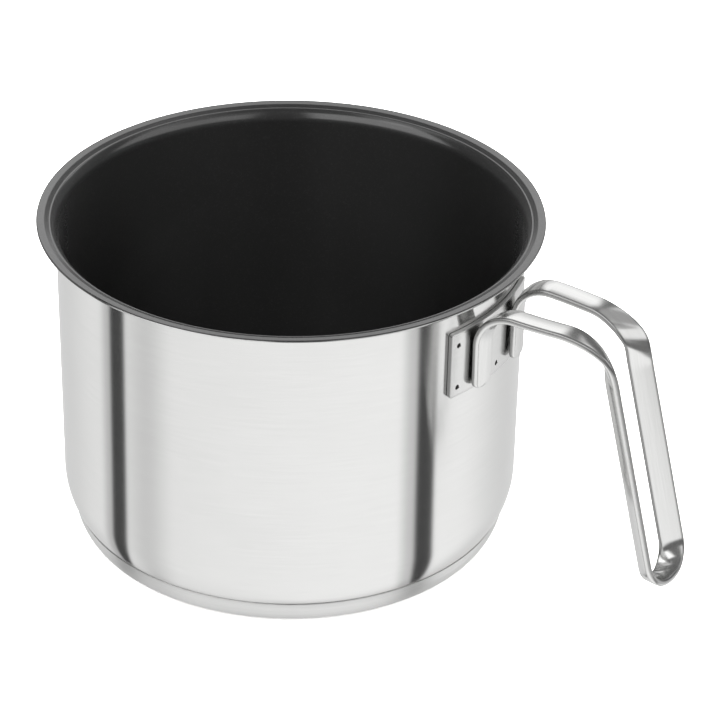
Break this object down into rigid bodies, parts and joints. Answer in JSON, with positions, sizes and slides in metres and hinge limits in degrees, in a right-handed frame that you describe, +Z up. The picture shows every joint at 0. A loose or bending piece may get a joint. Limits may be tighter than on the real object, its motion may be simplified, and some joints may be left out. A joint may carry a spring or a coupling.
{
  "type": "milk pan",
  "caption": "Deep round steel pan with a flared pouring lip, a dark nonstick inside, a capped heat-spreading base and one narrow looped strap handle that bends down beside the wall.",
  "frame": {"origin": "centre of the base's flat underside, on the axis of the round body", "axes": "+X from the pan's axis out along the handle, +Y across the handle, +Z up out of the open top"},
  "size_m": [0.2111, 0.153, 0.104],
  "materials": {
    "brushed_steel": "brushed round the wall, satin",
    "nonstick": "dark, semi-matt nonstick coating",
    "aluminium": "plain",
    "cap_steel": "satin",
    "bracket_steel": "satin",
    "weld_steel": "darker, as welded",
    "strap_steel": "polished"
  },
  "bodies": {
    "root": {"pan_body": "brushed_steel", "nonstick_lining": "nonstick", "aluminium_core": "aluminium", "base_cap": "cap_steel", "handle_bracket": "bracket_steel", "spot_weld_1": "weld_steel", "spot_weld_2": "weld_steel", "spot_weld_3": "weld_steel", "spot_weld_4": "weld_steel", "spot_weld_5": "weld_steel", "spot_weld_6": "weld_steel", "handle_strap": "strap_steel"}
  },
  "joints": []
}
